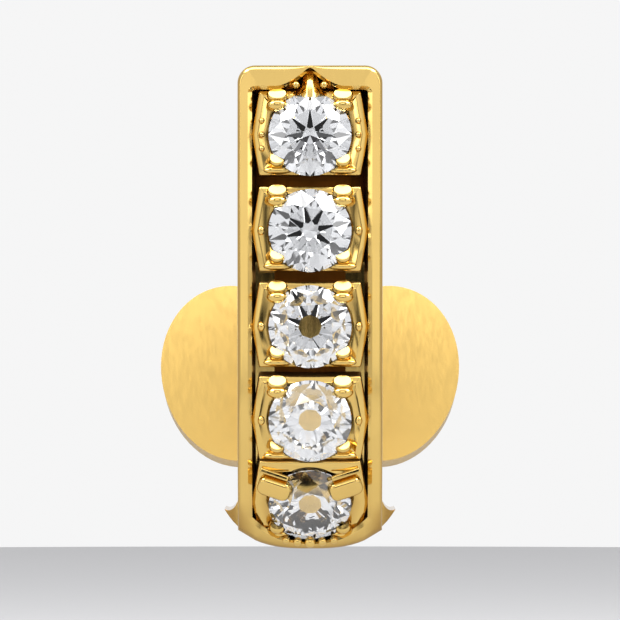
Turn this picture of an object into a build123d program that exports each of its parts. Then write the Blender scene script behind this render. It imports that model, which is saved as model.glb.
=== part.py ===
from build123d import *
import os
from collections import namedtuple
from math import asin, atan2, cos, degrees, radians, sin, sqrt, tan

# A cast gold cover that is worn in a narrow gap. An upright bar with a column of round brilliants
# fills the gap in front. Its foot turns under and carries a web, which passes back through the gap
# to two plain wings that hold the cover from behind.
# Millimetres, +X to the viewer's right, -Y towards the viewer, +Z up. The origin is the middle of
# the gap: half way up the bar and half way from the gap's front to its back.

# Stones
stone_count = 5
stone_diameter = 1.6
stone_gap = 0.26  # between two neighbouring girdles
stone_rise = 0.04  # the table stands this far above the face of the bar
stone_turn = 13.0  # each stone sits this many degrees further round than the one above it
table_share = 0.57  # of the stone's diameter
star_reach = 0.763  # where the star facets end, as a share of the radius
keel_reach = 0.23  # where the lower girdle facets end, as a share of the radius
girdle_thickness = 0.048
crown_angle = 34.5
pavilion_angle = 40.75
stone_clearance = 0.015

# Bar
bar_width = 2.8
bar_depth = 1.4
top_margin = 0.53  # from the bar's top to the first girdle
foot_margin = 0.15  # from the last girdle to the end of the bar's face
knee_share = 0.64  # share of the face's length where it starts to turn under
top_tilt = -4.0  # the face leans back at its top, in degrees
knee_tilt = 3.0
foot_tilt = 44.0
face_sagitta = 0.3  # how far the long edges of the face fall behind its middle
corner_radius = 0.34
foot_corner_radius = 0.2
edge_round = 0.1
foot_radius = 2.8  # of the bar's rounded foot, seen from the front

# Channel with one seat block for each stone
side_rail = 0.28  # at the height of the face's middle
wall_draft = 0.1  # the channel is this much narrower on each side at its floor
channel_depth = 0.68
top_rail = 0.42
foot_rail = 0.3
rail_bevel = 0.08
block_point = 0.01  # the block's two points run this far into the channel's walls
block_shoulder = 0.18  # the block is this much narrower on each side at its ends
block_overhang = 0.02  # the block's ends stand out this far past the girdle
block_drop = 0.08  # the block's top lies this far under the girdle
block_bevel = 0.06
bead_radius = 0.2
bead_spacing = 1.26  # across the bar
upper_bead_place = 0.65  # along the bar, up from the stone's middle
lower_bead_place = 0.52  # and down from it
bead_rise = 0.02  # the bead's centre stands this far above the girdle
notch_width = 0.9
notch_depth = 0.3
notch_margin = 0.06  # from the notch's point to the edge of the bar
notch_bead_radius = 0.07
notch_bead_spacing = 0.55

# The gap that the cover fits, and the clip behind it
tooth_gap = 2.7
tooth_depth = 2.9  # from the front of the gap to its back, at the middle of the wings
tooth_corner = 1.35
edge_height = 0.16  # the sides of the gap end this far above the bar's foot
flare_setback = 0.45  # the web's front lies this far behind the bar's long edges
flare_round = 0.03
web_inset = 0.06  # the web's foot lies this far inside the bar's
web_start = 3.8  # from the bar's top to the top of the web, along the face
web_reach = 1.1  # from the middle of the wings up to the web's top
web_dip = 0.7
plate_thickness = 0.6
plate_lean = 21.5  # degrees from upright
plate_radius = 17.0  # hollow towards the back
arch_radius = 26.0
spine_rise = 0.12  # the back of the web stands this far behind the wings
spine_round = 0.3
heel_radius = 0.9
wing_width = 2.9
wing_length = 3.5
wing_offset = 1.5  # from the middle of the gap to the middle of a wing
wing_height = -1.25
wing_lean = 14.0  # the wings spread towards their tops
wing_round = 0.18

# Face of the bar: a gentle arc down to the knee, then a tighter one that turns back under it
stone_radius = stone_diameter / 2
stone_pitch = stone_diameter + stone_gap
face_length = top_margin + stone_count * stone_diameter + (stone_count - 1) * stone_gap + foot_margin
knee = face_length * knee_share
upper_radius = knee / radians(knee_tilt - top_tilt)
lower_radius = (face_length - knee) / radians(foot_tilt - knee_tilt)
upper_rise = upper_radius * (sin(radians(knee_tilt)) - sin(radians(top_tilt)))
lower_rise = lower_radius * (sin(radians(foot_tilt)) - sin(radians(knee_tilt)))
bar_top = (upper_rise + lower_rise) / 2
bar_foot = -bar_top
face_front = -tooth_depth / 2 - bar_depth
overrun = bar_depth / 2  # swept shapes run on past the bar's ends, and its outline trims them


def face_tilt(distance):
    """How far the face looks down, in degrees, that far down it."""
    if distance < knee:
        return top_tilt + degrees(distance / upper_radius)
    return knee_tilt + degrees((distance - knee) / lower_radius)


def face_point(distance, depth=0.0):
    """Point (y, z) that far down the face and that deep under it."""
    tilt = radians(face_tilt(distance))
    if distance < knee:
        y = face_front + upper_radius * (1 - cos(tilt))
        z = bar_top - upper_radius * (sin(tilt) - sin(radians(top_tilt)))
    else:
        start = radians(knee_tilt)
        y = face_front + upper_radius * (1 - cos(start)) + lower_radius * (cos(start) - cos(tilt))
        z = bar_top - upper_rise - lower_radius * (sin(tilt) - sin(start))
    return (y + depth * cos(tilt), z + depth * sin(tilt))


def face_plane(distance, depth=0.0):
    """Plane under the face, that far down it: +z outwards, +y up the bar."""
    tilt = radians(face_tilt(distance))
    y, z = face_point(distance, depth)
    return Plane(origin=(0, y, z), x_dir=(1, 0, 0), z_dir=(0, -cos(tilt), -sin(tilt)))


def across(distance):
    """Plane across the bar, that far down its face: +y outwards, +z down the bar."""
    tilt = radians(face_tilt(distance))
    y, z = face_point(distance)
    return Plane(origin=(0, y, z), x_dir=(1, 0, 0), z_dir=(0, sin(tilt), -cos(tilt)))


def draw_face(start, end, depth=0.0):
    """Draw the face's middle line, or one that deep under it, from above the knee to below it."""
    tilt = radians(face_tilt(start))
    upper_arc = JernArc(
        start=face_point(start, depth),
        tangent=(sin(tilt), -cos(tilt)),
        radius=upper_radius - depth,
        arc_size=degrees((knee - start) / upper_radius),
    )
    JernArc(
        start=upper_arc @ 1,
        tangent=upper_arc % 1,
        radius=lower_radius - depth,
        arc_size=degrees((end - knee) / lower_radius),
    )


# One round brilliant, table up, with its girdle about the origin
half_girdle = girdle_thickness / 2
girdle_chord = stone_radius * cos(radians(11.25))
crown_slope = tan(radians(crown_angle))
pavilion_slope = tan(radians(pavilion_angle))
crown_height = half_girdle + stone_radius * (1 - table_share) * crown_slope
pavilion_depth = half_girdle + stone_radius * pavilion_slope
star_height = half_girdle + stone_radius * (1 - star_reach * cos(radians(22.5))) * crown_slope
keel_depth = half_girdle + stone_radius * (1 - keel_reach * cos(radians(22.5))) * pavilion_slope


def facet_angle(inner_reach, inner_height, outer_reach, outer_height):
    """Angle between the girdle's plane and a facet, from two points of the facet's middle line."""
    return degrees(atan2(inner_height - outer_height, outer_reach - inner_reach))


table_reach = stone_radius * table_share * cos(radians(22.5))
star_angle = facet_angle(table_reach, crown_height, stone_radius * star_reach, star_height)
upper_inner_reach = stone_radius * star_reach * cos(radians(11.25))
upper_angle = facet_angle(upper_inner_reach, star_height, girdle_chord, half_girdle)
lower_inner_reach = stone_radius * keel_reach * cos(radians(11.25))
lower_angle = facet_angle(lower_inner_reach, keel_depth, girdle_chord, half_girdle)

# A ring of facets: reach and height give a point of each facet, and side is 1 on the crown
FacetRing = namedtuple("FacetRing", "count first_azimuth reach height angle side")
facet_rings = [
    FacetRing(8, 0, stone_radius, half_girdle, crown_angle, 1),
    FacetRing(8, 22.5, table_reach, crown_height, star_angle, 1),
    FacetRing(16, 11.25, girdle_chord, half_girdle, upper_angle, 1),
    FacetRing(8, 0, stone_radius, half_girdle, pavilion_angle, -1),
    FacetRing(16, 11.25, girdle_chord, half_girdle, lower_angle, -1),
]

with BuildPart() as brilliant:
    with BuildSketch(Plane.XY.offset(-pavilion_depth)):
        Circle(stone_radius)
    extrude(amount=pavilion_depth + crown_height)
    for ring in facet_rings:
        for number in range(ring.count):
            azimuth = radians(ring.first_azimuth + number * 360 / ring.count)
            outwards = Vector(cos(azimuth), sin(azimuth), 0)
            upwards = Vector(0, 0, ring.side)
            normal = outwards * sin(radians(ring.angle)) + upwards * cos(radians(ring.angle))
            facet = Plane(origin=outwards * ring.reach + upwards * ring.height, z_dir=normal)
            split(bisect_by=facet, keep=Keep.BOTTOM)

# The room that a stone takes in the metal, open above its table
room_top = crown_height + 2 * bead_radius
with BuildPart() as stone_room:
    with BuildSketch(Plane.XZ):
        with BuildLine():
            Polyline(
                (0, -pavilion_depth - stone_clearance),
                (stone_radius * keel_reach + stone_clearance, -keel_depth - stone_clearance),
                (stone_radius + stone_clearance, -half_girdle - stone_clearance),
                (stone_radius + stone_clearance, half_girdle + stone_clearance),
                (stone_radius * star_reach + stone_clearance, star_height + stone_clearance),
                (stone_radius * table_share + stone_clearance, crown_height + stone_clearance),
                (stone_radius * table_share + stone_clearance, room_top),
                (0, room_top),
                close=True,
            )
        make_face()
    revolve(axis=Axis.Z)

# The room of the channel, open in front, whose foot follows the bar's
half_width = bar_width / 2
channel_width = bar_width - 2 * side_rail
channel_floor_width = channel_width - 2 * wall_draft
foot_centre = bar_foot + foot_radius
trim_depth = 2 * (tooth_depth + bar_depth + plate_thickness)
front_plane = Plane.XZ.offset(trim_depth / 2)  # outlines seen from the front are drawn on it
mouth_reach = channel_width / 2 + overrun * wall_draft / channel_depth
with BuildPart() as channel_room:
    with BuildSketch(across(top_rail)):
        with BuildLine():
            Polyline(
                (-mouth_reach, overrun),
                (-channel_floor_width / 2, -channel_depth),
                (channel_floor_width / 2, -channel_depth),
                (mouth_reach, overrun),
                close=True,
            )
        make_face()
    with BuildLine(Plane.YZ) as channel_path:
        draw_face(top_rail, face_length + overrun)
    sweep(path=channel_path.wire())
    with BuildSketch(front_plane):
        with Locations((0, foot_centre)):
            Circle(foot_radius - foot_rail)
            Rectangle(bar_width, face_length, align=(Align.CENTER, Align.MIN))
    extrude(amount=-trim_depth, mode=Mode.INTERSECT)

# Bar: a domed section swept down the face and trimmed to its outline, seen from the front
swept_reach = half_width + overrun
dome_radius = (half_width**2 + face_sagitta**2) / 2 / face_sagitta
dome_spread = degrees(asin(swept_reach / dome_radius))
with BuildPart() as bar:
    with BuildSketch(across(-overrun)):
        with BuildLine():
            dome = CenterArc((0, -dome_radius), dome_radius, 90 - dome_spread, 2 * dome_spread)
            Polyline(dome @ 1, (-swept_reach, -bar_depth), (swept_reach, -bar_depth), dome @ 0)
        make_face()
    with BuildLine(Plane.YZ) as bar_path:
        draw_face(-overrun, face_length + overrun)
    sweep(path=bar_path.wire())
    with BuildSketch(front_plane) as outline:
        with BuildLine():
            foot_side = foot_centre - sqrt(foot_radius**2 - half_width**2)
            foot_arc = ThreePointArc((-half_width, foot_side), (0, bar_foot), (half_width, foot_side))
            Polyline(foot_arc @ 1, (half_width, bar_top), (-half_width, bar_top), foot_arc @ 0)
        make_face()
        fillet(outline.vertices().group_by(Axis.Y)[-1], radius=corner_radius)
        fillet(outline.vertices().group_by(Axis.Y)[0], radius=foot_corner_radius)
    extrude(amount=-trim_depth, mode=Mode.INTERSECT)
    front = bar.faces().filter_by(GeomType.TORUS)
    knee_edge = front.edges().sort_by_distance((0, *face_point(knee)))[0:1]
    rim = (front.edges() - knee_edge).sort_by(SortBy.LENGTH)
    fillet(rim, radius=edge_round)
    add(channel_room.part, mode=Mode.SUBTRACT)
    front = bar.faces().filter_by(GeomType.TORUS)
    mouth = (bar.edges(Select.LAST) & front.edges()).sort_by(SortBy.LENGTH)
    chamfer(mouth[2:], length=rail_bevel)  # all but the knee's line across the two rails


def notch(mouth_distance, point_distance):
    """Cutter of a notch in an end rail, from its mouth to its point, as distances down the face."""
    with BuildPart() as cutter:
        with BuildSketch(across(mouth_distance)) as mouth:
            with BuildLine():
                Polyline(
                    (0, -notch_depth),
                    (notch_width / 2, 0),
                    (notch_width / 2, notch_depth),
                    (-notch_width / 2, notch_depth),
                    (-notch_width / 2, 0),
                    close=True,
                )
            make_face()
        loft(sections=[mouth.sketch.face(), Vertex(0, *face_point(point_distance))])
    return cutter.part


# Seat block, six-sided with bevelled edges. The middle of the stone's girdle is its origin
block_length = stone_diameter + 2 * block_overhang
block_width = channel_width + 2 * block_point
block_end_width = block_width - 2 * block_shoulder
girdle_depth = crown_height - stone_rise
with BuildPart() as seat_block:
    with BuildSketch(Plane.XY.offset(-block_drop)):
        with BuildLine():
            Polyline(
                (block_width / 2, 0),
                (block_end_width / 2, block_length / 2),
                (-block_end_width / 2, block_length / 2),
                (-block_width / 2, 0),
                (-block_end_width / 2, -block_length / 2),
                (block_end_width / 2, -block_length / 2),
                close=True,
            )
        make_face()
    extrude(amount=-channel_depth)
    chamfer(seat_block.faces().sort_by(Axis.Z)[-1].edges(), length=block_bevel)

# Bead prong: a post with a round head, whose foot stands in the seat block
with BuildPart() as bead:
    with BuildSketch(Plane.XZ):
        with BuildLine():
            head = CenterArc((0, bead_rise), bead_radius, 0, 90)
            Polyline(head @ 1, (0, -2 * block_drop), (bead_radius, -2 * block_drop), head @ 0)
        make_face()
    revolve(axis=Axis.Z)


def gap_outline(top):
    """Sketch of the gap up to that height, with its flared and rounded foot."""
    tooth_block = 4 * tooth_corner
    tooth_place = (tooth_gap + tooth_block) / 2
    tooth_middle = bar_foot + edge_height + face_length
    with BuildSketch() as gap:
        with Locations((0, foot_centre)):
            Circle(foot_radius - web_inset)
            Rectangle(2 * foot_radius, top - foot_centre, align=(Align.CENTER, Align.MIN))
        with Locations((tooth_place, tooth_middle), (-tooth_place, tooth_middle)):
            RectangleRounded(tooth_block, 2 * face_length, tooth_corner, mode=Mode.SUBTRACT)
        flare_tips = gap.vertices().group_by(Axis.X)[0] + gap.vertices().group_by(Axis.X)[-1]
        fillet(flare_tips, radius=flare_round)
    return gap.sketch


plate_centre = (
    tooth_depth / 2 + plate_radius * cos(radians(plate_lean)),
    wing_height - plate_radius * sin(radians(plate_lean)),
)


def plate_point(reach, depth=0.0):
    """Point (y, z) of the plate, that far up its front from the middle of the wings and that deep."""
    angle = radians(180 - plate_lean) - reach / plate_radius
    y, z = plate_centre
    return (y + (plate_radius - depth) * cos(angle), z + (plate_radius - depth) * sin(angle))


# Web through the gap, from inside the bar back to a spine that stands behind the wings
web_depth = face_sagitta + flare_setback
spine_depth = plate_thickness + spine_rise
heel_reach = (bar_foot - wing_height) / cos(radians(plate_lean))
with BuildPart() as web:
    with BuildSketch(Plane.YZ) as web_profile:
        with BuildLine():
            SagittaArc(
                plate_point(web_reach, spine_depth), face_point(web_start, web_depth), web_dip
            )
            spine = ThreePointArc(
                plate_point(web_reach, spine_depth),
                plate_point((web_reach + heel_reach) / 2, spine_depth),
                plate_point(heel_reach, spine_depth),
            )
            draw_face(web_start, face_length + overrun, web_depth)
            Line(spine @ 1, face_point(face_length + overrun, web_depth))
        make_face()
        fillet(web_profile.vertices().sort_by_distance(spine @ 0)[0], radius=spine_round)
        fillet(web_profile.vertices().sort_by_distance(spine @ 1)[0], radius=heel_radius)
    extrude(amount=foot_radius, both=True)
    with BuildSketch(front_plane):
        add(gap_outline(bar_top))
    extrude(amount=-trim_depth, mode=Mode.INTERSECT)

# One wing: an oval of a bent band, on the middle line. It is then swung out along the arch
wing_spread = degrees(wing_length / plate_radius)
with BuildPart() as wing:
    with BuildSketch(Plane.YZ):
        with BuildLine():
            front_arc = CenterArc(
                plate_centre, plate_radius, 180 - plate_lean - wing_spread, 2 * wing_spread
            )
            back_arc = CenterArc(
                plate_centre, plate_radius - plate_thickness, 180 - plate_lean - wing_spread, 2 * wing_spread
            )
            Line(front_arc @ 0, back_arc @ 0)
            Line(front_arc @ 1, back_arc @ 1)
        make_face()
    extrude(amount=wing_width, both=True)
    with BuildSketch(front_plane):
        with Locations((0, wing_height)):
            Ellipse(wing_width / 2, wing_length / 2, rotation=-wing_lean)
    extrude(amount=-trim_depth, mode=Mode.INTERSECT)
    fillet(wing.faces().sort_by(Axis.Y)[-1].edges(), radius=wing_round)

arch_centre = Location((0, arch_radius - tooth_depth / 2, 0))
wing_swing = degrees(asin(wing_offset / (arch_radius - tooth_depth)))
with BuildPart() as wings:
    with Locations(arch_centre * Rotation(0, 0, wing_swing) * arch_centre.inverse()):
        add(wing.part)
    mirror(about=Plane.YZ)

# The setting: wings, web and bar, with the seat blocks and beads in the channel, one cast piece
stone_distances = [top_margin + stone_radius + number * stone_pitch for number in range(stone_count)]
seats = [face_plane(distance, girdle_depth) for distance in stone_distances]
with BuildPart() as gold_setting:
    add(wings.part)
    add(web.part)
    add(bar.part)
    with Locations(*seats):
        add(seat_block.part)
        with Locations((0, upper_bead_place), (0, -lower_bead_place)):
            with GridLocations(bead_spacing, 0, 2, 1):
                add(bead.part)
    with Locations(*seats):
        add(stone_room.part, mode=Mode.SUBTRACT)
    add(notch(top_rail + rail_bevel, notch_margin), mode=Mode.SUBTRACT)
    add(notch(face_length - foot_rail, face_length - notch_margin), mode=Mode.SUBTRACT)
    with Locations(face_plane(top_rail - notch_bead_radius)):
        with GridLocations(notch_bead_spacing, 0, 2, 1):
            Sphere(notch_bead_radius)

os.makedirs("parts", exist_ok=True)
gold_setting.part.label = "gold_setting"
export_step(gold_setting.part, "parts/gold_setting.step")
for number, seat in enumerate(seats):
    with BuildPart() as stone:
        with Locations(seat * Rotation(0, 0, number * stone_turn)):
            add(brilliant.part)
    stone.part.label = f"stone_{number + 1}"
    export_step(stone.part, f"parts/stone_{number + 1}.step")
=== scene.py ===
import math

import bmesh
import bpy
from mathutils import Matrix, Vector


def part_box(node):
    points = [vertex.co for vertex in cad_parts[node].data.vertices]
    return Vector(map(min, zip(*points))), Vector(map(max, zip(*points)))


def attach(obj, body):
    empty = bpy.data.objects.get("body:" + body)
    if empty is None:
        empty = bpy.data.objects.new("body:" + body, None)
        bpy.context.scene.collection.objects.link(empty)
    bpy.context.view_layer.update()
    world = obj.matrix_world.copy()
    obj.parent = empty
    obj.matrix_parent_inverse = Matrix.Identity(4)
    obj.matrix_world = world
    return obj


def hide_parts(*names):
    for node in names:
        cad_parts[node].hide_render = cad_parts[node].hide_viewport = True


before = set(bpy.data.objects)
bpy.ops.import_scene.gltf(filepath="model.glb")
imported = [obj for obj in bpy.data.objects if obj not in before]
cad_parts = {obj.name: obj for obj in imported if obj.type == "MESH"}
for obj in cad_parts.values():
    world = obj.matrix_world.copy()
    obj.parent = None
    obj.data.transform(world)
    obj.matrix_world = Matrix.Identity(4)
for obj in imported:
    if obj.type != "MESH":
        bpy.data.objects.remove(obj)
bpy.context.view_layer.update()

# Bar. One upright cast bar with a picture-frame rim: a rolled outer edge, a flat land and a bevel
# into the channel, mitred at the corners. The top rail is filed to a pointed arch, and the foot
# rail to a crescent. It is cast in one with the web and wings behind it.
mm = 0.001
bar_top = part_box("gold_setting")[1].z
bar_foot = -bar_top
bar_width = 2.8 * mm
bar_depth = 1.4 * mm
gap_depth = 2.9 * mm
face_length = 9.72 * mm
knee = 0.64 * face_length
top_tilt = math.radians(-4)
knee_tilt = math.radians(3)
foot_tilt = math.radians(44)
edge_fall = 0.3 * mm
mitre_start = 1.257 * mm
mitre_slope = 0.687
upper_radius = knee / (knee_tilt - top_tilt)
lower_radius = (face_length - knee) / (foot_tilt - knee_tilt)
face_front = -gap_depth / 2 - bar_depth
dome_radius = ((bar_width / 2) ** 2 + edge_fall**2) / 2 / edge_fall
overrun = 2 * mm
halvings = 40


def tilt_at(down):
    """How far the face looks down, in radians, that far down it."""
    if down < knee:
        return top_tilt + down / upper_radius
    return knee_tilt + (down - knee) / lower_radius


def on_face(down, depth=0.0):
    """Place (y, z) on the face's middle line, that far down it and that deep under it."""
    tilt = tilt_at(down)
    if down < knee:
        y = face_front + upper_radius * (1 - math.cos(tilt))
        z = bar_top - upper_radius * (math.sin(tilt) - math.sin(top_tilt))
    else:
        y = face_front + upper_radius * (1 - math.cos(knee_tilt))
        y += lower_radius * (math.cos(knee_tilt) - math.cos(tilt))
        z = bar_top - upper_radius * (math.sin(knee_tilt) - math.sin(top_tilt))
        z -= lower_radius * (math.sin(tilt) - math.sin(knee_tilt))
    return y + depth * math.cos(tilt), z + depth * math.sin(tilt)


def face_at(x, z, under=0.0):
    """Where the domed face stands in y, or what lies that far under it, seen from the front.

    Between the mitre lines the top rail is as low all across as the dome is at the mitres."""
    across = max(abs(x), mitre_start - mitre_slope * (bar_top - z))
    fall = dome_radius - math.sqrt(dome_radius**2 - across**2) + under
    high, low = -overrun, face_length + overrun
    for _ in range(halvings):
        middle = (high + low) / 2
        if on_face(middle, fall)[1] > z:
            high = middle
        else:
            low = middle
    return on_face(low, fall)[0]


def seat_at(down, depth):
    """Matrix of a seat under the face: x across the bar, y up it and z outwards."""
    tilt = tilt_at(down)
    y, z = on_face(down, depth)
    across = (1, 0, 0)
    upwards = (0, -math.sin(tilt), math.cos(tilt))
    outwards = (0, -math.cos(tilt), -math.sin(tilt))
    turn = Matrix((across, upwards, outwards)).transposed().to_4x4()
    return Matrix.Translation((0, y, z)) @ turn


def polished_gold(name, colour, roughness, wear, scratches):
    """Mirror gold with a cloudy change of tone, polishing lines, a soft unevenness and painted shade,
    darkened to a brown where the piece's stored value asks.
    """
    gold = bpy.data.materials.new(name)
    gold.use_nodes = True
    tree = gold.node_tree
    shader = tree.nodes["Principled BSDF"]
    shader.inputs["Metallic"].default_value = 1.0
    place = tree.nodes.new("ShaderNodeTexCoord")

    cloud = tree.nodes.new("ShaderNodeTexNoise")
    cloud.inputs["Scale"].default_value = 900.0
    cloud.inputs["Detail"].default_value = 4.0
    tone = tree.nodes.new("ShaderNodeValToRGB")
    tone.color_ramp.elements[0].position = 0.3
    tone.color_ramp.elements[0].color = (*[0.93 * part for part in colour], 1)
    tone.color_ramp.elements[1].position = 0.7
    tone.color_ramp.elements[1].color = (*colour, 1)
    tree.links.new(place.outputs["Object"], cloud.inputs["Vector"])
    tree.links.new(cloud.outputs["Fac"], tone.inputs["Fac"])
    # Painted shade: a brown is multiplied into the colour as far as the stored value asks.
    painted_shade = tree.nodes.new("ShaderNodeAttribute")
    painted_shade.attribute_name = "painted_shade"
    shade_darkening = tree.nodes.new("ShaderNodeMix")
    shade_darkening.data_type = "RGBA"
    shade_darkening.blend_type = "MULTIPLY"
    shade_darkening.inputs["B"].default_value = (0.3, 0.16, 0.06, 1)
    tree.links.new(painted_shade.outputs["Fac"], shade_darkening.inputs["Factor"])
    tree.links.new(tone.outputs["Color"], shade_darkening.inputs["A"])
    tree.links.new(shade_darkening.outputs["Result"], shader.inputs["Base Color"])

    stretch = tree.nodes.new("ShaderNodeMapping")
    stretch.inputs["Rotation"].default_value = (0.3, 0.5, 0.2)
    stretch.inputs["Scale"].default_value = (14000, 9000, 900)
    lines = tree.nodes.new("ShaderNodeTexNoise")
    lines.inputs["Scale"].default_value = 1.0
    lines.inputs["Detail"].default_value = 3.0
    gloss = tree.nodes.new("ShaderNodeMapRange")
    gloss.inputs["From Min"].default_value = 0.35
    gloss.inputs["From Max"].default_value = 0.75
    gloss.inputs["To Min"].default_value = roughness
    gloss.inputs["To Max"].default_value = roughness * wear
    tree.links.new(place.outputs["Object"], stretch.inputs["Vector"])
    tree.links.new(stretch.outputs["Vector"], lines.inputs["Vector"])
    tree.links.new(lines.outputs["Fac"], gloss.inputs["Value"])
    tree.links.new(gloss.outputs["Result"], shader.inputs["Roughness"])

    fine = tree.nodes.new("ShaderNodeBump")
    fine.inputs["Strength"].default_value = scratches
    fine.inputs["Distance"].default_value = 0.004 * mm
    tree.links.new(lines.outputs["Fac"], fine.inputs["Height"])
    tree.links.new(fine.outputs["Normal"], shader.inputs["Normal"])
    return gold


bright_gold = polished_gold("bright gold", (0.8, 0.55, 0.17), 0.09, 2.2, 0.15)
# Satin gold: the rougher finish is the wings' own; its colour, darker than the bright gold's, is painted
# shade.
satin_shaded_gold = polished_gold("shaded satin gold", (0.68, 0.455, 0.135), 0.3, 1.3, 0.08)
# The darker gold is painted shade, for the channel and the blocks' sides where shade falls.
channel_shade_gold = polished_gold("gold darkened in the channel", (0.45, 0.3, 0.12), 0.4, 1.5, 0.6)

rim_roll = 0.07 * mm
rim_land = 0.13 * mm
rim_bevel = 0.08 * mm
bevel_fall = 0.085 * mm
channel_depth = 0.68 * mm
wall_lean = 0.08 * mm
rail = rim_roll + rim_land + rim_bevel
top_rail = 0.47 * mm
corner_round = 0.34 * mm
bevel_at_top = 0.07 * mm
arch_reach = 0.65 * mm
arch_rail = 0.085 * mm
arch_curve = 1.6
foot_rail = 0.13 * mm
foot_rise = 0.36 * mm
crescent_rise = 0.38 * mm
crescent_curve = 2.26
calm = 1.2 * mm
cut_threshold = 0.0005 * mm


def picked(piece, kind, test):
    """Select in edit mode only the faces or edges whose middle and direction pass the test."""
    bpy.ops.mesh.select_mode(type="VERT")
    bpy.ops.mesh.select_all(action="DESELECT")
    bpy.ops.mesh.select_mode(type=kind)
    shape = bmesh.from_edit_mesh(piece.data)
    if kind == "FACE":
        for face in shape.faces:
            face.select_set(test(face.calc_center_median(), face.normal))
    else:
        for edge in shape.edges:
            start, end = (vertex.co for vertex in edge.verts)
            edge.select_set(test((start + end) / 2, (end - start).normalized()))
    shape.select_flush_mode()
    bmesh.update_edit_mesh(piece.data)


def begun(name, add, **sizes):
    """Add a primitive by itself, at its size and place, and open it in edit mode."""
    bpy.ops.object.select_all(action="DESELECT")
    add(**sizes)
    piece = bpy.context.object
    piece.name = piece.data.name = name
    bpy.ops.object.transform_apply(location=True, rotation=True, scale=True)
    bpy.ops.object.mode_set(mode="EDIT")
    return piece


def cut_across(starts, axis):
    """Bisect the whole open mesh at each of those places along an axis."""
    for start in starts:
        bpy.ops.mesh.select_all(action="SELECT")
        point = [0, 0, 0]
        point[axis] = start
        direction = [0, 0, 0]
        direction[axis] = 1
        bpy.ops.mesh.bisect(plane_co=point, plane_no=direction, threshold=cut_threshold)


def top_edge(x):
    """How far the top rail's inner edge lies under the bar's top: a pointed arch."""
    share = max(0.0, 1 - abs(x) / arch_reach) ** arch_curve
    return top_rail + (arch_rail - top_rail) * share


def from_outline(x, under_top):
    """How far inside the outline of the plain drawing a place is, at the top and sides."""
    beyond = abs(x) - bar_width / 2 + corner_round
    if beyond > 0 and under_top < corner_round:
        return corner_round - math.hypot(beyond, corner_round - under_top)
    return min(bar_width / 2 - abs(x), under_top)


def foot_outer(x):
    """How far the foot's outline has risen, that far from the middle."""
    return foot_rise * (abs(x) / (bar_width / 2)) ** 3


def foot_inner(x):
    """How far the foot rail's inner edge lies above the bar's lowest point: a crescent."""
    return foot_rail + crescent_rise * (abs(x) / mm) ** crescent_curve


def redrawn(x, z):
    """The height where a point of the plain rectangular drawing belongs on the shaped rails."""
    under_top = bar_top - z
    over_foot = z - bar_foot
    if under_top < rail + calm:
        edge = top_edge(x)
        flat = rim_roll + rim_land
        at_flat = edge - min(bevel_at_top, edge / 2) - flat
        share = min(from_outline(x, under_top), rail)
        if share < flat:
            move = at_flat * share / flat
        else:
            move = at_flat + (edge - rail - at_flat) * (share - flat) / rim_bevel
        z -= move * (1 - max(0, under_top - rail) / calm) ** 2
    if over_foot < rail:
        share = over_foot / rail
        z = bar_foot + foot_outer(x) + (foot_inner(x) - foot_outer(x)) * share
    elif over_foot < rail + calm:
        ease = 1 - (over_foot - rail) / calm
        z += (foot_inner(x) - rail) * ease**2
    return z


bar = begun(
    "bar",
    bpy.ops.mesh.primitive_cube_add,
    size=1,
    location=(0, (bar_depth + rim_roll) / 2, 0),
    scale=(bar_width, bar_depth - rim_roll, bar_top - bar_foot),
)
picked(bar, "EDGE", lambda at, along: abs(along.y) > 0.9 and at.z > 0)
bpy.ops.mesh.bevel(offset=corner_round, segments=10, affect="EDGES")
picked(bar, "FACE", lambda at, normal: normal.y < -0.9)
roll_steps = 7
upper_wall = 0.15 * mm
slice_height = 0.18 * mm
arch_slice = 0.06 * mm
side_cuts = (0.8 * mm, 0.94 * mm, 1.06 * mm)
for step in range(roll_steps):
    before = math.radians(90) * step / roll_steps
    after = math.radians(90) * (step + 1) / roll_steps
    inwards = rim_roll * (math.cos(before) - math.cos(after))
    forwards = rim_roll * (math.sin(after) - math.sin(before))
    bpy.ops.mesh.inset(thickness=inwards, depth=forwards)
bpy.ops.mesh.inset(thickness=rim_land, depth=0)
bpy.ops.mesh.inset(thickness=rim_bevel, depth=-bevel_fall)
bpy.ops.mesh.remove_doubles(threshold=0.03 * mm)
picked(bar, "FACE", lambda at, normal: normal.y < -0.9 and at.y > bevel_fall / 2 and abs(at.x) < mm)
bpy.ops.mesh.inset(thickness=wall_lean / 4, depth=-upper_wall)
bpy.ops.mesh.inset(thickness=wall_lean * 3 / 4, depth=bevel_fall + upper_wall - channel_depth)
cut_across([bar_foot + step * slice_height for step in range(1, 52)], 2)
cut_across([step * arch_slice for step in range(-11, 12)], 0)
cut_across([side * reach for side in (-1, 1) for reach in side_cuts], 0)
bpy.ops.object.mode_set(mode="OBJECT")
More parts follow.
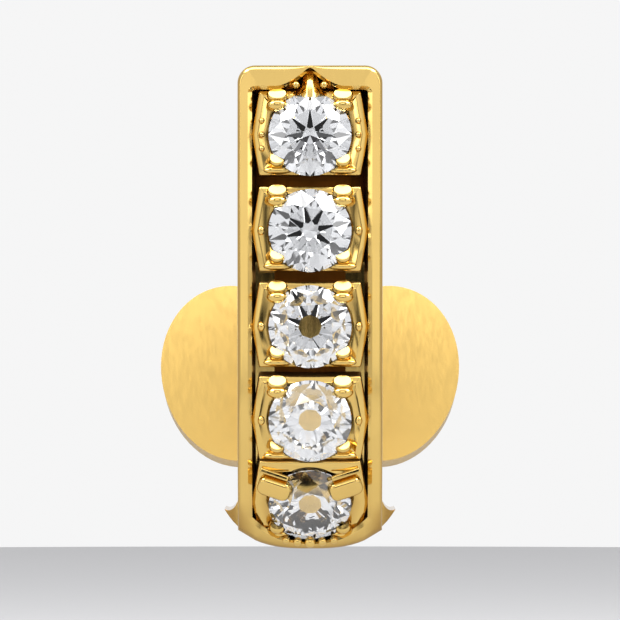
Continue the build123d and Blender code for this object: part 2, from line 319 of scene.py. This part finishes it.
# Faces deep in the channel, except the middle of its top and foot ends, take the darker gold: painted
# shade.
deep_start = 0.26 * mm
deep_end = channel_depth + 0.02 * mm
bright_half = 0.6 * mm
bright_length = 0.8 * mm
for face in bar.data.polygons:
    inside = abs(face.center.x) < bar_width / 2 - rail
    ends = abs(face.center.x) < bright_half and abs(face.center.z) > bar_top - bright_length
    face.material_index = int(inside and not ends and deep_start < face.center.y < deep_end)
for vertex in bar.data.vertices:
    vertex.co.z = redrawn(vertex.co.x, vertex.co.z)
bpy.ops.object.mode_set(mode="EDIT")
mitre_height = 0.6 * mm
mitre_reach = 0.7 * mm
for side in (-1, 1):
    picked(
        bar,
        "FACE",
        lambda at, normal: at.z > bar_top - mitre_height and at.x * side > mitre_reach,
    )
    bpy.ops.mesh.bisect(
        plane_co=(side * mitre_start, 0, bar_top),
        plane_no=(side, 0, -mitre_slope),
        threshold=cut_threshold,
    )
    bpy.ops.mesh.mark_sharp()
bpy.ops.object.mode_set(mode="OBJECT")
for vertex in bar.data.vertices:
    x, depth, z = vertex.co
    vertex.co.y = face_at(x, z) + depth
bar.data.materials.append(bright_gold)
bar.data.materials.append(channel_shade_gold)
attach(bar, "root")
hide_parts("gold_setting")

# Room for a stone. The setter opens each seat with a bur, so the metal is cut away to the stone's
# own shape: the pavilion's cone, the girdle and the crown, with a hair's clearance.
stone_radius = 0.8 * mm
stone_clearance = 0.015 * mm
crown_height = 0.26 * mm
pavilion_depth = 0.714 * mm
girdle_half = 0.024 * mm
bur_tip = 0.03 * mm
bur_neck = 0.47 * mm
bur_length = 0.5 * mm


def turned(name, outline, sides=64):
    """Turn a closed shape by extruding a circle from one (radius, height) to the next."""
    radius, height = outline[0]
    piece = begun(
        name,
        bpy.ops.mesh.primitive_circle_add,
        vertices=sides,
        radius=radius,
        location=(0, 0, height),
        fill_type="NGON",
    )
    for next_radius, next_height in outline[1:]:
        bpy.ops.mesh.select_mode(type="FACE")
        bpy.ops.mesh.extrude_region_move(TRANSFORM_OT_translate={"value": (0, 0, next_height - height)})
        grow = next_radius / radius
        bpy.ops.transform.resize(value=(grow, grow, 1))
        radius, height = next_radius, next_height
    bpy.ops.mesh.select_all(action="SELECT")
    bpy.ops.mesh.normals_make_consistent(inside=False)
    bpy.ops.object.mode_set(mode="OBJECT")
    return piece


girdle_room = stone_radius + stone_clearance
stone_room = turned(
    "stone_room",
    [
        (bur_tip, -pavilion_depth - 2 * stone_clearance),
        (girdle_room, -girdle_half - stone_clearance),
        (girdle_room, girdle_half + stone_clearance),
        (bur_neck, crown_height + stone_clearance),
        (bur_neck, crown_height + bur_length),
    ],
)
stone_count = 5
stone_pitch = 1.86 * mm
first_stone = 1.33 * mm
girdle_depth = 0.2204 * mm
seats = [seat_at(first_stone + number * stone_pitch, girdle_depth) for number in range(stone_count)]


def hollowed(piece, places):
    """Cut the stones' rooms out of a piece, a closed shape that doesn't cross itself."""
    for place in places:
        cutter = bpy.data.objects.new("cutter", stone_room.data.copy())
        bpy.context.collection.objects.link(cutter)
        cutter.data.transform(place)
        cut = piece.modifiers.new("stone room", "BOOLEAN")
        cut.operation = "DIFFERENCE"
        cut.solver = "EXACT"
        cut.object = cutter
        bpy.ops.object.select_all(action="DESELECT")
        bpy.context.view_layer.objects.active = piece
        bpy.ops.object.modifier_apply(modifier=cut.name)
        bpy.data.objects.remove(cutter)


def smoothed(piece, angle=30):
    """Shade a piece smooth, but for the edges that are sharper than that angle."""
    bpy.ops.object.select_all(action="DESELECT")
    piece.select_set(True)
    bpy.context.view_layer.objects.active = piece
    bpy.ops.object.shade_smooth_by_angle(angle=math.radians(angle))


def rounded(piece, width, segments, angle=30):
    """Round off the edges of a piece that are sharper than that angle."""
    bevel = piece.modifiers.new("edges", "BEVEL")
    bevel.width = width
    bevel.segments = segments
    bevel.limit_method = "ANGLE"
    bevel.angle_limit = math.radians(angle)
    bpy.ops.object.select_all(action="DESELECT")
    bpy.context.view_layer.objects.active = piece
    bpy.ops.object.modifier_apply(modifier=bevel.name)


# How dark the painted shade is on the rolled edges and at the foot's corners, and where it reaches.
edge_tone = 0.45
foot_fade = 1.7 * rim_roll
corner_tone = 0.55
corner_reach = 1.12 * mm
corner_edge = 0.03 * mm
corner_height = bar_foot + 0.95 * mm
corner_fade = 0.4 * mm
tone_floor = channel_depth + 0.1 * mm


def shared(value, start, end):
    """How far a value has gone from its start to its end, from 0 to 1."""
    return min(1.0, max(0.0, (value - start) / (end - start)))


def darkened(piece, start=0.06 * mm, end=0.34 * mm):
    """Store where the gold is painted with shade, as a darker tone: down in the channel,
    along the rolled edges and at the foot's two corners."""
    painted_shade = piece.data.attributes.new("painted_shade", "FLOAT", "POINT")
    for vertex, value in zip(piece.data.vertices, painted_shade.data):
        x, y, z = vertex.co
        deep = y - face_at(x, max(z, bar_foot))
        tone = 0
        if abs(x) < bar_width / 2 - rim_roll - rim_land and deep < tone_floor:
            tone = shared(deep, start, end)
        if deep < 3 * rim_roll:
            side = shared(abs(x), bar_width / 2 - rim_roll, bar_width / 2)
            foot = shared(z - bar_foot - foot_outer(x), foot_fade, 0)
            at_corner = shared(abs(x), corner_reach, bar_width / 2 - corner_edge)
            at_corner *= shared(z, corner_height, corner_height - corner_fade)
            tone = max(tone, edge_tone * side, edge_tone * foot, corner_tone * at_corner)
        value.value = tone


hollowed(bar, seats)
smoothed(bar, angle=16)
# Painted shade stored on the bar: in the channel, on the rolled edges and at the foot's corners.
darkened(bar)

# Seat blocks. Each stone has a six-sided gold block soldered in the channel, whose two points touch
# the rails. Its top is bright cut to a thin raised edge, and its sides are dull, painted dark as shade.
block_reach = 1.13 * mm
block_upper_end = 0.85 * mm
block_lower_end = 0.78 * mm
shoulder_reach = 0.98 * mm
block_top = -0.11 * mm
block_height = 0.56 * mm
flank_width = 0.11 * mm
flank_rise = 0.06 * mm
edge_width = 0.02 * mm
dish_width = 0.15 * mm
dish_depth = 0.06 * mm
block_round = 0.02 * mm
side_reach = 0.82 * mm
side_start = block_top - 0.15 * mm
stretch_start = 0.6 * mm
stretch_length = 0.25 * mm
last_stretch = 0.08 * mm

block = begun(
    "block",
    bpy.ops.mesh.primitive_cylinder_add,
    vertices=6,
    radius=mm,
    depth=block_height,
    location=(0, 0, block_top - block_height / 2),
    rotation=(0, 0, math.radians(30)),
)
bpy.ops.object.mode_set(mode="OBJECT")
for vertex in block.data.vertices:
    if abs(vertex.co.y) > 0.5 * mm:
        vertex.co.x = math.copysign(shoulder_reach, vertex.co.x)
        vertex.co.y = block_upper_end if vertex.co.y > 0 else -block_lower_end
    else:
        vertex.co.x = math.copysign(block_reach, vertex.co.x)
bpy.ops.object.mode_set(mode="EDIT")
picked(block, "FACE", lambda at, normal: normal.z > 0.9)
bpy.ops.mesh.inset(thickness=flank_width, depth=flank_rise)
bpy.ops.mesh.inset(thickness=edge_width, depth=0)
bpy.ops.mesh.inset(thickness=dish_width, depth=-dish_depth)
bpy.ops.object.mode_set(mode="OBJECT")
rounded(block, width=block_round, segments=3, angle=25)
hollowed(block, [Matrix.Identity(4)])
smoothed(block)
block.data.materials.append(bright_gold)
block.data.materials.append(channel_shade_gold)
# The block's lower outer sides take the darker gold: painted shade.
for face in block.data.polygons:
    outside = abs(face.normal.z) < 0.3 and face.center.length > side_reach
    face.material_index = int(outside and face.center.z < side_start)
for number, seat in enumerate(seats, 1):
    seat_block = bpy.data.objects.new(f"seat_block_{number}", block.data.copy())
    bpy.context.collection.objects.link(seat_block)
    if number == len(seats):
        for vertex in seat_block.data.vertices:
            vertex.co.y += last_stretch * max(0, vertex.co.y - stretch_start) / stretch_length
    seat_block.data.transform(seat)
    # Painted shade stored on the block, darker deeper in the channel.
    darkened(seat_block, start=0.2 * mm, end=0.42 * mm)
    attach(seat_block, "root")
bpy.data.objects.remove(block)

# Prongs. Four rounded beads of gold to each stone, raised from its block and pushed over the
# crown, the lower two with a rolled pad of metal under them. The lowest stone's upper beads are
# spread into broad pads.
bead_across = 0.63
upper_cap = (0.21, 0.14, 0.16)
upper_root = (0.21, 0.13, 0.18)
lower_bead = (0.17, 0.15, 0.17)
lower_lip = (0.28, 0.075, 0.1)
row_bead = (0.06, 0.06, 0.07)
side_bead = (0.07, 0.09, 0.07)
pad_sizes = (0.66, 0.4, 0.3)
strip_sizes = (0.58, 0.1, 0.2)
pad_slope = math.radians(14)
dome_slope = math.radians(12)
strip_lean = math.radians(-30)
light_above = math.radians(74)


def placed(piece, middle, scale=(1, 1, 1), turn=(0, 0, 0)):
    """Close an open primitive and put it in its place, in millimetres."""
    bpy.ops.object.mode_set(mode="OBJECT")
    piece.location = [place * mm for place in middle]
    piece.scale = scale
    piece.rotation_euler = turn
    bpy.ops.object.transform_apply(location=True, rotation=True, scale=True)
    return piece


def bead(middle, radii, facet=None):
    """A bead of three radii, with a flat facet cut on it that leans up by that angle."""
    piece = begun("bead", bpy.ops.mesh.primitive_uv_sphere_add, segments=32, ring_count=20, radius=1)
    if facet is not None:
        cut = Vector((0, radii[1] * math.sin(facet), radii[2] * math.cos(facet))).normalized()
        bpy.ops.mesh.select_all(action="SELECT")
        bpy.ops.mesh.bisect(plane_co=cut * 0.6, plane_no=cut, clear_outer=True, use_fill=True)
    return placed(piece, middle, scale=[radius * mm for radius in radii])


def pad(side, middle, sizes, corners, edges, lean):
    """A flat pad beside the last stone, its top sloping down to the middle of the bar."""
    piece = begun("pad", bpy.ops.mesh.primitive_cube_add, size=1, scale=[size * mm for size in sizes])
    picked(piece, "EDGE", lambda at, along: abs(along.z) > 0.9)
    bpy.ops.mesh.bevel(offset=corners * mm, segments=6, affect="EDGES")
    picked(piece, "FACE", lambda at, normal: normal.z > 0.9)
    bpy.ops.mesh.bevel(offset=edges * mm, segments=6, affect="EDGES")
    x, y, z = middle
    return placed(piece, (side * x, y, z), turn=(lean, side * dome_slope, side * pad_slope))


def joined(name, parts):
    """Join the parts into one mesh of that name."""
    bpy.ops.object.select_all(action="DESELECT")
    for part in parts:
        part.select_set(True)
    bpy.context.view_layer.objects.active = parts[0]
    bpy.ops.object.join()
    piece = bpy.context.object
    piece.name = piece.data.name = name
    return piece


def prongs(number, tilt):
    """The prongs of one stone, about the middle of its girdle, in millimetres."""
    facet = light_above / 2 + tilt
    parts = []
    for side in (-1, 1):
        if number == len(seats):
            parts.append(pad(side, (0.68, 0.46, 0.07), pad_sizes, 0.15, 0.1, 0))
            parts.append(pad(side, (0.69, 0.75, 0.05), strip_sizes, 0.03, 0.03, strip_lean))
        else:
            parts.append(bead((side * bead_across, 0.75, -0.02), upper_cap, facet))
            parts.append(bead((side * bead_across, 0.57, 0), upper_root))
        parts.append(bead((side * bead_across, -0.5, 0), lower_bead, facet))
        parts.append(bead((side * 0.62, -0.69, -0.04), lower_lip))
        if number == 1:
            for y in (0.27, 0, -0.27):
                parts.append(bead((side * 0.93, y, -0.03), row_bead))
        elif number < len(seats):
            parts.append(bead((side * 0.94, 0, -0.03), side_bead))
    for part in parts:
        hollowed(part, [Matrix.Identity(4)])
    return joined(f"prongs_{number}", parts)


for number, seat in enumerate(seats, 1):
    stone_prongs = prongs(number, tilt_at(first_stone + (number - 1) * stone_pitch))
    stone_prongs.data.transform(seat)
    # Painted shade stored on the prongs, darker deeper in the channel.
    darkened(stone_prongs, start=0.12 * mm, end=0.36 * mm)
    smoothed(stone_prongs)
    stone_prongs.data.materials.append(bright_gold)
    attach(stone_prongs, "root")
bpy.data.objects.remove(stone_room)

# Points. In the arch of the top rail stands a small filed ridge between two tiny beads, and five
# more beads close the foot rail under the last stone.
ridge_top = bar_top - 0.11 * mm
ridge_foot = bar_top - 0.62 * mm
ridge_half = 0.34 * mm
ridge_tip = 0.08 * mm
ridge_bevel = 0.075 * mm
ridge_edge = 0.008 * mm
ridge_stand = 0.08 * mm
ridge_lean = 0.46
ridge_share = 0.8
ridge = begun(
    "ridge",
    bpy.ops.mesh.primitive_cone_add,
    vertices=4,
    radius1=ridge_half,
    radius2=ridge_tip,
    depth=ridge_top - ridge_foot,
    location=(0, 0, (ridge_top + ridge_foot) / 2),
)
picked(ridge, "EDGE", lambda at, along: abs(at.x) < 0.01 * mm and at.y < 0 and abs(along.z) > 0.5)
bpy.ops.mesh.bevel(offset=ridge_bevel, segments=1, affect="EDGES")
bpy.ops.object.mode_set(mode="OBJECT")
for vertex in ridge.data.vertices:
    risen = vertex.co.z - ridge_foot
    widest = ridge_half - (ridge_half - ridge_tip) * risen / (ridge_top - ridge_foot)
    set_back = ridge_lean * risen + (vertex.co.y + widest) * ridge_share
    vertex.co.y = face_at(0, vertex.co.z) - ridge_stand + set_back
rounded(ridge, width=ridge_edge, segments=2)
smoothed(ridge)
# Painted shade stored on the ridge, darker deeper under the face.
darkened(ridge, start=0.25 * mm, end=0.5 * mm)
ridge.data.materials.append(bright_gold)
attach(ridge, "root")

# across, above the bar's lowest point, and radius, in millimetres
foot_beads = (
    (0, 0.13, 0.11),
    (-0.24, 0.14, 0.09),
    (0.24, 0.14, 0.09),
    (-0.46, 0.17, 0.08),
    (0.46, 0.17, 0.08),
)
point_places = [(side * 0.27, bar_top / mm - 0.38, 0.05, 0.07) for side in (-1, 1)]
point_places += [(x, bar_foot / mm + over_foot, 0.03, radius) for x, over_foot, radius in foot_beads]
point_beads = joined(
    "point_beads",
    [
        bead((x, face_at(x * mm, z * mm) / mm + under, z), (radius, radius, radius))
        for x, z, under, radius in point_places
    ],
)
smoothed(point_beads)
point_beads.data.materials.append(bright_gold)
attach(point_beads, "root")

# Web. A saddle of gold, cast in one with the bar, runs back through the gap that the cover fits.
# At its foot it spreads into a pointed flare on each side, on the same curve as the bar's foot.
web_half = 1.35 * mm
web_corner = 1.35 * mm
web_inset = 0.04 * mm
flare_reach = 1.65 * mm
flare_height = 0.64 * mm
flare_rise = 0.1 * mm
web_front = 0.75 * mm
web_back = 0.72 * mm
saddle_radius = 4.556 * mm
saddle_centre = (1.357 * mm, 3.852 * mm)
saddle_round = 0.3 * mm
heel_round = 0.9 * mm
heel_low = 0.17 * mm
flare_top = 0.16 * mm
web_round = 0.06 * mm
# Painted shade on the flares beyond the bar's sides: how dark, where it starts and how fast it grows.
flare_shade_tone = 0.55
flare_shade_start = bar_width / 2 - 0.05 * mm
flare_shade_fade = 0.25 * mm
plate_lean = math.radians(21.5)
plate_radius = 17 * mm
plate_thickness = 0.6 * mm
wing_height = -1.25 * mm
plate_centre_y = gap_depth / 2 + plate_radius * math.cos(plate_lean)
plate_centre_z = wing_height - plate_radius * math.sin(plate_lean)


def on_plate(reach, depth):
    """Place (y, z) on the wings' dished plate, that far up from its middle and that deep."""
    angle = math.radians(180) - plate_lean - reach / plate_radius
    radius = plate_radius - depth
    return plate_centre_y + radius * math.cos(angle), plate_centre_z + radius * math.sin(angle)


def plate_at(z, depth):
    """Where the plate stands in y at that height, and that deep."""
    reach_height = math.asin((z - plate_centre_z) / (plate_radius - depth))
    return plate_centre_y - (plate_radius - depth) * math.cos(reach_height)


def web_side(height):
    """Half the web's width, that far above the bar's foot, where it flares in a round."""
    fall = max(0.0, web_corner + flare_top - height)
    return web_half + web_corner - math.sqrt(web_corner**2 - fall**2)


def corner(near, radius):
    """How far a rounded corner falls back, that near its edge."""
    inside = max(0.0, radius - near)
    return radius - math.sqrt(radius**2 - min(inside, radius) ** 2)


web = begun("web", bpy.ops.mesh.primitive_cube_add, size=2)
cut_across([math.sin(math.radians(90) * step / 14) for step in range(-13, 14)], 0)
cut_across([-1 + 2 * (step / 30) ** 1.5 for step in range(1, 30)], 2)
cut_across([-math.cos(math.radians(180) * step / 24) for step in range(1, 24)], 1)
bpy.ops.object.mode_set(mode="OBJECT")
for vertex in web.data.vertices:
    u, back, up = vertex.co.x, (vertex.co.y + 1) / 2, (vertex.co.z + 1) / 2
    y = -web_half + 2 * web_half * back
    for _ in range(30):
        top = saddle_centre[1] - math.sqrt(saddle_radius**2 - (y - saddle_centre[0]) ** 2)
        height = flare_height + (top - bar_foot - flare_height) * up
        x = u * web_side(height)
        low = web_inset + foot_outer(x) + flare_rise * max(0, abs(x) / flare_reach - 0.8) ** 2 / 0.04
        z = bar_foot + low * (1 - up) + (top - bar_foot) * up
        front = face_at(0, z, web_front)
        rear = plate_at(z, web_back) - corner(z - bar_foot + heel_low, heel_round)
        rear -= corner(top - z, saddle_round)
        y = (y + front + (rear - front) * back) / 2
    vertex.co = (x, y, z)
rounded(web, width=web_round, segments=3, angle=40)
smoothed(web)
# Painted shade: the flares beyond the bar's sides are darkened, up to that tone.
flare_shade = web.data.attributes.new("painted_shade", "FLOAT", "POINT")
for vertex, value in zip(web.data.vertices, flare_shade.data):
    value.value = min(flare_shade_tone, max(0, abs(vertex.co.x) - flare_shade_start) / flare_shade_fade)
web.data.materials.append(bright_gold)
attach(web, "root")

# Wings. Two plain oval plates, cast with the web and left satin, hold the cover from behind. They
# are dished, follow an arch to each side and spread towards their tops.
wing_width = 2.9 * mm
wing_length = 3.5 * mm
wing_offset = 1.5 * mm
wing_lean = math.radians(14)
arch_radius = 26 * mm
arch_centre = Matrix.Translation((0, arch_radius - gap_depth / 2, 0))
wing_swing = math.asin(wing_offset / (arch_radius - gap_depth))

for side, name in ((-1, "wing_left"), (1, "wing_right")):
    wing = begun(name, bpy.ops.mesh.primitive_cylinder_add, vertices=72, radius=1, depth=1)
    picked(wing, "EDGE", lambda at, along: abs(along.z) < 0.1 and at.z > 0.4 and at.length > 0.9)
    bpy.ops.mesh.bevel(offset=0.1, segments=6, affect="EDGES", clamp_overlap=False)
    for end in (-1, 1):
        picked(wing, "FACE", lambda at, normal: normal.z * end > 0.9 and at.xy.length < 0.1)
        for ring in range(5):
            bpy.ops.mesh.inset(thickness=0.15, depth=0)
        bpy.ops.mesh.poke()
    bpy.ops.object.mode_set(mode="OBJECT")
    swing = arch_centre @ Matrix.Rotation(side * wing_swing, 4, "Z") @ arch_centre.inverted()
    for vertex in wing.data.vertices:
        across, up, depth = vertex.co.x * wing_width / 2, vertex.co.y * wing_length / 2, vertex.co.z + 0.5
        x = across * math.cos(wing_lean) + side * up * math.sin(wing_lean)
        z = up * math.cos(wing_lean) - side * across * math.sin(wing_lean)
        y, z = on_plate(z / math.cos(plate_lean), depth * plate_thickness)
        vertex.co = swing @ Vector((x, y, z))
    bpy.ops.object.mode_set(mode="EDIT")
    bpy.ops.mesh.select_all(action="SELECT")
    bpy.ops.mesh.normals_make_consistent(inside=False)
    bpy.ops.object.mode_set(mode="OBJECT")
    smoothed(wing)
    # The wings take the satin gold, painted darker as shade.
    wing.data.materials.append(satin_shaded_gold)
    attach(wing, "root")

# Stones. Five round brilliants, cut and set table up. They are clear white stones that throw the
# light about, with dark flashes where a facet mirrors the dark.
clear_stone = bpy.data.materials.new("clear white stone")
clear_stone.use_nodes = True
stone_tree = clear_stone.node_tree
stone_shader = stone_tree.nodes["Principled BSDF"]
stone_shader.inputs["Base Color"].default_value = (0.97, 0.985, 1.0, 1)
stone_shader.inputs["Transmission Weight"].default_value = 1.0
stone_shader.inputs["IOR"].default_value = 2.417
stone_place = stone_tree.nodes.new("ShaderNodeTexCoord")
haze = stone_tree.nodes.new("ShaderNodeTexNoise")
haze.inputs["Scale"].default_value = 5000.0
haze_level = stone_tree.nodes.new("ShaderNodeMapRange")
haze_level.inputs["To Min"].default_value = 0.0
haze_level.inputs["To Max"].default_value = 0.02
stone_tree.links.new(stone_place.outputs["Object"], haze.inputs["Vector"])
stone_tree.links.new(haze.outputs["Fac"], haze_level.inputs["Value"])
stone_tree.links.new(haze_level.outputs["Result"], stone_shader.inputs["Roughness"])
for number in range(1, stone_count + 1):
    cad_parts[f"stone_{number}"].material_slots[0].material = clear_stone

# Floor. A plain pale round table top, painted matt. It stands well below the cover, which is held
# up as it is worn and touches nothing.
floor_height = bar_foot - 2.2 * mm
floor_radius = 64 * mm
floor_thickness = 4 * mm
floor = begun(
    "floor",
    bpy.ops.mesh.primitive_circle_add,
    vertices=128,
    radius=floor_radius,
    location=(0, 0, floor_height),
    fill_type="NGON",
)
bpy.ops.mesh.extrude_region_move(TRANSFORM_OT_translate={"value": (0, 0, -floor_thickness)})
bpy.ops.mesh.select_all(action="SELECT")
bpy.ops.mesh.normals_make_consistent(inside=False)
bpy.ops.object.mode_set(mode="OBJECT")
smoothed(floor)
pale = bpy.data.materials.new("pale table top")
pale.use_nodes = True
pale.node_tree.nodes["Principled BSDF"].inputs["Base Color"].default_value = (0.5, 0.5, 0.505, 1)
pale.node_tree.nodes["Principled BSDF"].inputs["Roughness"].default_value = 0.8
floor.data.materials.append(pale)

# Light. The room is a plain white tent with a dark opening for the camera and darker sides. Soft
# boxes and narrower strip lights stand on the left, on the right and above, and two lamps light the
# floor in front of the cover.
light_distance = 120 * mm


def softbox(name, azimuth, elevation, wide, tall, glow):
    """A soft box, given by where it stands in degrees, its size and how bright it looks."""
    lamp = bpy.data.lights.new(name, "AREA")
    lamp.shape = "RECTANGLE"
    lamp.size = wide
    lamp.size_y = tall
    lamp.energy = glow * math.pi * wide * tall
    light = bpy.data.objects.new(name, lamp)
    bpy.context.collection.objects.link(light)
    azimuth, elevation = math.radians(azimuth), math.radians(elevation)
    forwards = math.cos(elevation)
    way = Vector((math.sin(azimuth) * forwards, -math.cos(azimuth) * forwards, math.sin(elevation)))
    light.location = way * light_distance
    light.rotation_euler = (-way).to_track_quat("-Z", "Y").to_euler()


softbox("soft box left", -46, 5, 40 * mm, 150 * mm, 0.15)
softbox("soft box right", 46, 5, 40 * mm, 150 * mm, 0.15)
softbox("strip light above", 0, 19, 70 * mm, 18 * mm, 2.5)
softbox("soft box above", 0, 74, 120 * mm, 36 * mm, 4.5)
softbox("strip light left", -70, 14, 14 * mm, 50 * mm, 1.8)
softbox("strip light right", 70, 14, 14 * mm, 50 * mm, 1.8)

for side in (-1, 1):
    lamp = bpy.data.lights.new("floor light", "AREA")
    lamp.size = 16 * mm
    lamp.energy = 0.009
    light = bpy.data.objects.new("floor light", lamp)
    bpy.context.collection.objects.link(light)
    light.location = (side * 24 * mm, -14 * mm, 28 * mm)
    aim = Vector((0, -13 * mm, floor_height)) - light.location
    light.rotation_euler = aim.to_track_quat("-Z", "Y").to_euler()

room = bpy.data.worlds.new("white tent")
bpy.context.scene.world = room
room.use_nodes = True
tree = room.node_tree
direction = tree.nodes.new("ShaderNodeTexCoord")
split = tree.nodes.new("ShaderNodeSeparateXYZ")
tree.links.new(direction.outputs["Generated"], split.inputs["Vector"])
turn = tree.nodes.new("ShaderNodeMath")
turn.operation = "ARCCOSINE"
tree.links.new(split.outputs["Y"], turn.inputs[0])
share = tree.nodes.new("ShaderNodeMapRange")
share.inputs["From Min"].default_value = 0.0
share.inputs["From Max"].default_value = math.pi
tree.links.new(turn.outputs["Value"], share.inputs["Value"])
rings = tree.nodes.new("ShaderNodeValToRGB")
tree.links.new(share.outputs["Result"], rings.inputs["Fac"])
while len(rings.color_ramp.elements) > 1:
    rings.color_ramp.elements.remove(rings.color_ramp.elements[-1])
# from behind the cover (0) to the camera (180): degrees and brightness
tent = ((0, 0.92), (35, 0.92), (62, 0.7), (108, 0.65), (122, 1.0), (161, 1.0), (167, 0.03), (180, 0.02))
rings.color_ramp.elements[0].position = 0.0
rings.color_ramp.elements[0].color = (0.92, 0.92, 0.92, 1)
for degrees, level in tent[1:]:
    rings.color_ramp.elements.new(degrees / 180).color = (level, level, level * 1.02, 1)
flags = tree.nodes.new("ShaderNodeValToRGB")
sideways = tree.nodes.new("ShaderNodeMath")
sideways.operation = "ABSOLUTE"
tree.links.new(split.outputs["X"], sideways.inputs[0])
tree.links.new(sideways.outputs["Value"], flags.inputs["Fac"])
flags.color_ramp.elements[0].position = 0.0
flags.color_ramp.elements[0].color = (1, 1, 1, 1)
flags.color_ramp.elements[1].position = 1.0
flags.color_ramp.elements[1].color = (1, 1, 1, 1)
# a dark flag to each side, in the front half only: how far sideways (0 to 1) and brightness
for place, level in ((0.36, 1.0), (0.38, 0.08), (0.45, 0.08), (0.47, 1.0)):
    flags.color_ramp.elements.new(place).color = (level, level, level, 1)
in_front = tree.nodes.new("ShaderNodeMapRange")
in_front.inputs["From Min"].default_value = 0.0
in_front.inputs["From Max"].default_value = -0.2
tree.links.new(split.outputs["Y"], in_front.inputs["Value"])
flagged = tree.nodes.new("ShaderNodeMix")
flagged.data_type = "RGBA"
flagged.blend_type = "MULTIPLY"
tree.links.new(in_front.outputs["Result"], flagged.inputs["Factor"])
tree.links.new(rings.outputs["Color"], flagged.inputs["A"])
tree.links.new(flags.outputs["Color"], flagged.inputs["B"])
tree.links.new(flagged.outputs["Result"], tree.nodes["Background"].inputs["Color"])
tree.nodes["Background"].inputs["Strength"].default_value = 1.0

# Camera. A long lens looks straight at the front, as in the photograph, from so near that the bar
# fills most of the height.
camera_distance = 135.3 * mm
camera_height = -0.04 * mm
camera_lens = bpy.data.cameras.new("camera")
camera_lens.lens = 400
camera_lens.clip_start = 5 * mm
camera_lens.clip_end = 5
camera = bpy.data.objects.new("camera", camera_lens)
bpy.context.collection.objects.link(camera)
camera.location = (0, -camera_distance, camera_height)
camera.rotation_euler = (math.radians(90), 0, 0)
bpy.context.scene.camera = camera
bpy.context.scene.view_settings.view_transform = "Standard"
